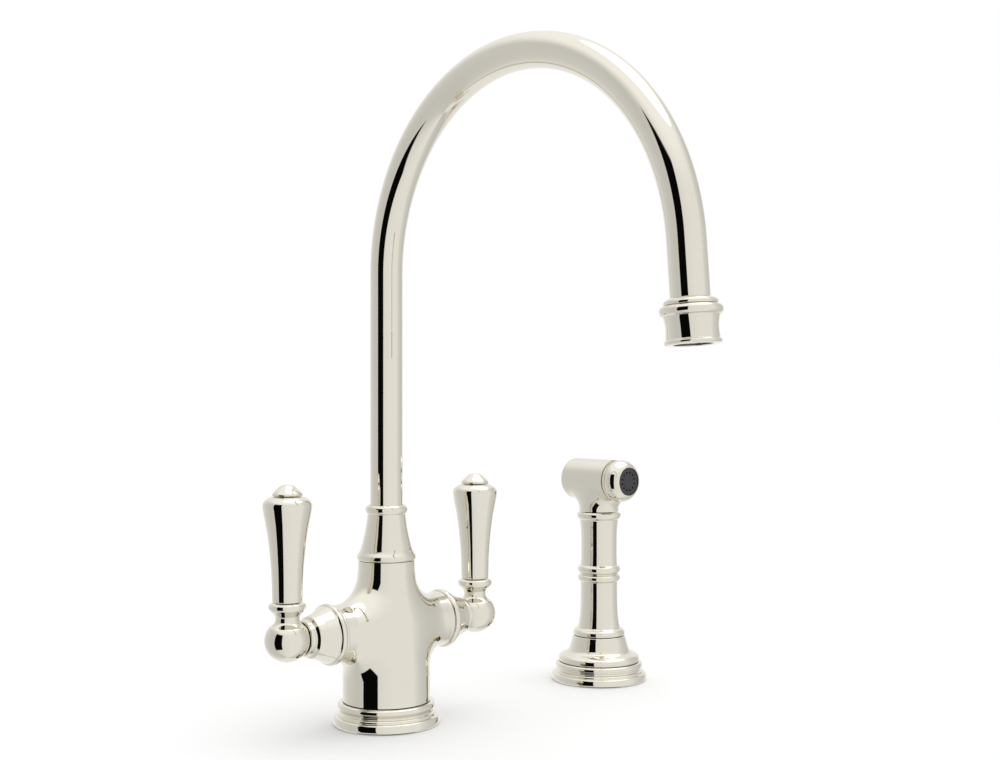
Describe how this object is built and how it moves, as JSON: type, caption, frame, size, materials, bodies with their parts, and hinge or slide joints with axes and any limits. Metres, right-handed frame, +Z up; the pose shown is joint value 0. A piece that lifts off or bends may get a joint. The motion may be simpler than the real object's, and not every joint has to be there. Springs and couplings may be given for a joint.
{
  "type": "two-handle kitchen faucet with side spray",
  "caption": "Deck-mounted kitchen faucet with two cross-set levers, a tall swivelling gooseneck spout and a separate pull-out side spray in a bell-shaped holder",
  "frame": {"origin": "on the axis of the main body, at the top of the deck that the faucet stands on", "axes": "+Z up along the body axis, +X towards the right-hand lever and the side spray, -Y the way the spout reaches"},
  "size_m": [0.3386, 0.3194, 0.4958],
  "materials": {
    "nickel": "polished nickel plate, warm silver",
    "brass": "plain machined brass",
    "steel": "plain stainless steel",
    "rubber": "black nitrile rubber",
    "spray_rubber": "dark grey soft rubber",
    "nylon": "natural nylon",
    "ceramic": "lapped alumina ceramic",
    "black_plastic": "black moulded plastic"
  },
  "bodies": {
    "root": {"body_casting": "nickel", "base_flange": "nickel", "base_gasket": "rubber", "mounting_shank": "brass", "body_rubber_washer": "rubber", "body_steel_washer": "steel", "body_back_nut": "brass", "hot_inlet": "brass", "cold_inlet": "brass", "spray_outlet": "brass", "spout_collar": "nickel", "thrust_washer": "nylon", "diverter_sleeve": "brass", "spray_flange": "nickel", "spray_gasket": "rubber", "holder_shank": "brass", "holder_bell": "nickel", "holder_liner": "nylon", "spray_rubber_washer": "rubber", "spray_steel_washer": "steel", "spray_back_nut": "brass", "left_bonnet": "nickel", "left_cartridge": "brass", "left_fixed_disc": "ceramic", "right_bonnet": "nickel", "right_cartridge": "brass", "right_fixed_disc": "ceramic"},
    "spout": {"spout_tube": "nickel", "spout_foot": "brass", "lower_seal_ring": "rubber", "upper_seal_ring": "rubber", "nozzle_flange": "nickel", "nozzle_shell": "nickel", "aerator_insert": "black_plastic", "aerator_screen": "steel"},
    "left_lever": {"left_lever_hub": "nickel", "left_lever_grip": "nickel", "left_lever_finial": "nickel", "left_lever_rod": "steel", "left_grub_screw": "steel", "left_spindle": "brass", "left_moving_disc": "ceramic"},
    "right_lever": {"right_lever_hub": "nickel", "right_lever_grip": "nickel", "right_lever_finial": "nickel", "right_lever_rod": "steel", "right_grub_screw": "steel", "right_spindle": "brass", "right_moving_disc": "ceramic"},
    "diverter": {"diverter_piston": "rubber"},
    "hose_end": {"hose_connector": "brass"},
    "handset": {"handset_stem": "nickel", "handset_head": "nickel", "spray_ring": "nickel", "spray_face": "spray_rubber", "button_spring": "steel"},
    "button": {"spray_button": "nickel", "valve_plunger": "brass"}
  },
  "joints": [
    {"name": "spout_swivel", "type": "hinge", "parent": "root", "child": "spout", "pos_m": [0, 0, 0.1], "axis": [0, 0, 1], "continuous": true},
    {"name": "left_handle_turn", "type": "hinge", "parent": "root", "child": "left_lever", "pos_m": [-0.0793, 0, 0.0647], "axis": [1, 0, 0], "range_deg": [0, 90]},
    {"name": "right_handle_turn", "type": "hinge", "parent": "root", "child": "right_lever", "pos_m": [0.0793, 0, 0.0647], "axis": [1, 0, 0], "range_deg": [0, 90]},
    {"name": "diverter_shift", "type": "slide", "parent": "root", "child": "diverter", "axis": [0, 0, 1], "range_m": [0, 0.004]},
    {"name": "handset_lift", "type": "slide", "parent": "root", "child": "hose_end", "axis": [0, 0, 1], "range_m": [0, 0.12]},
    {"name": "handset_turn", "type": "hinge", "parent": "hose_end", "child": "handset", "pos_m": [0.207, 0, 0.1], "axis": [0, 0, 1], "continuous": true},
    {"name": "spray_button_press", "type": "slide", "parent": "handset", "child": "button", "axis": [0, -1, 0], "range_m": [0, 0.004], "stiffness_N_per_m": 300, "springref_m": -0.002, "deforming": ["button_spring"]}
  ]
}
